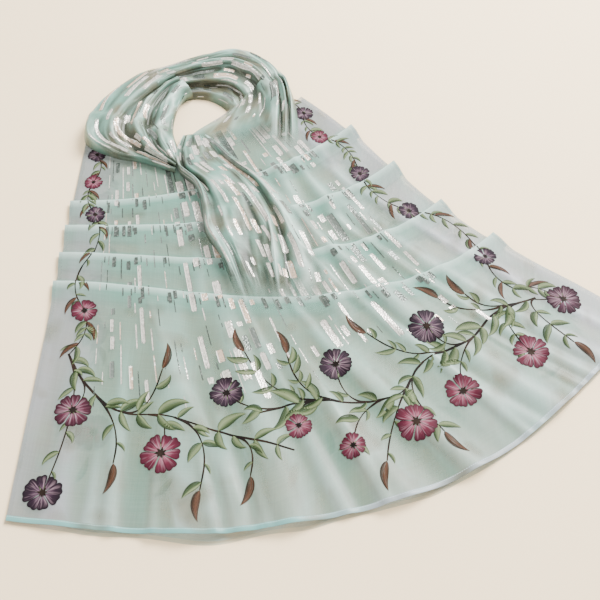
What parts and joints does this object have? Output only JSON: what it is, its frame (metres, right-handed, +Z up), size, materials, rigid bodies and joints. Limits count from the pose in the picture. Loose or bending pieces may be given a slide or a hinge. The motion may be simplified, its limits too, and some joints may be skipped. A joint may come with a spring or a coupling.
{
  "type": "organza saree laid flat",
  "caption": "Sheer saree length laid flat, its end spread as a fan with cross tucks and bound hem, the rest gathered into an open loop.",
  "frame": {"origin": "middle of the laid saree's outline, on the surface that it lies on", "axes": "+Z up from the surface; -Y towards the hem of the spread end; +X towards its right selvedge"},
  "size_m": [1.1294, 1.1643, 0.0567],
  "materials": {
    "organza_pallu": "sheer woven organza, mint fading to pale lilac at its borders",
    "organza_gathered": "sheer woven organza, several layers deep",
    "organza_folded": "sheer woven organza, folded flat",
    "organza_edge": "dense woven edge and turned binding",
    "foil_bars": "brushed silver foil print",
    "painted_petals": "matte fabric paint",
    "painted_leaves": "matte fabric paint",
    "painted_stems": "matte fabric paint"
  },
  "bodies": {
    "root": {"folded_body_left": "organza_folded", "folded_body_right": "organza_folded", "pallu": "organza_pallu", "hem_binding": "organza_edge", "selvedge_left": "organza_edge", "selvedge_right": "organza_edge", "loop_left": "organza_gathered", "loop_back": "organza_gathered", "loop_right": "organza_gathered", "centre_drape": "organza_gathered"}
  },
  "joints": []
}
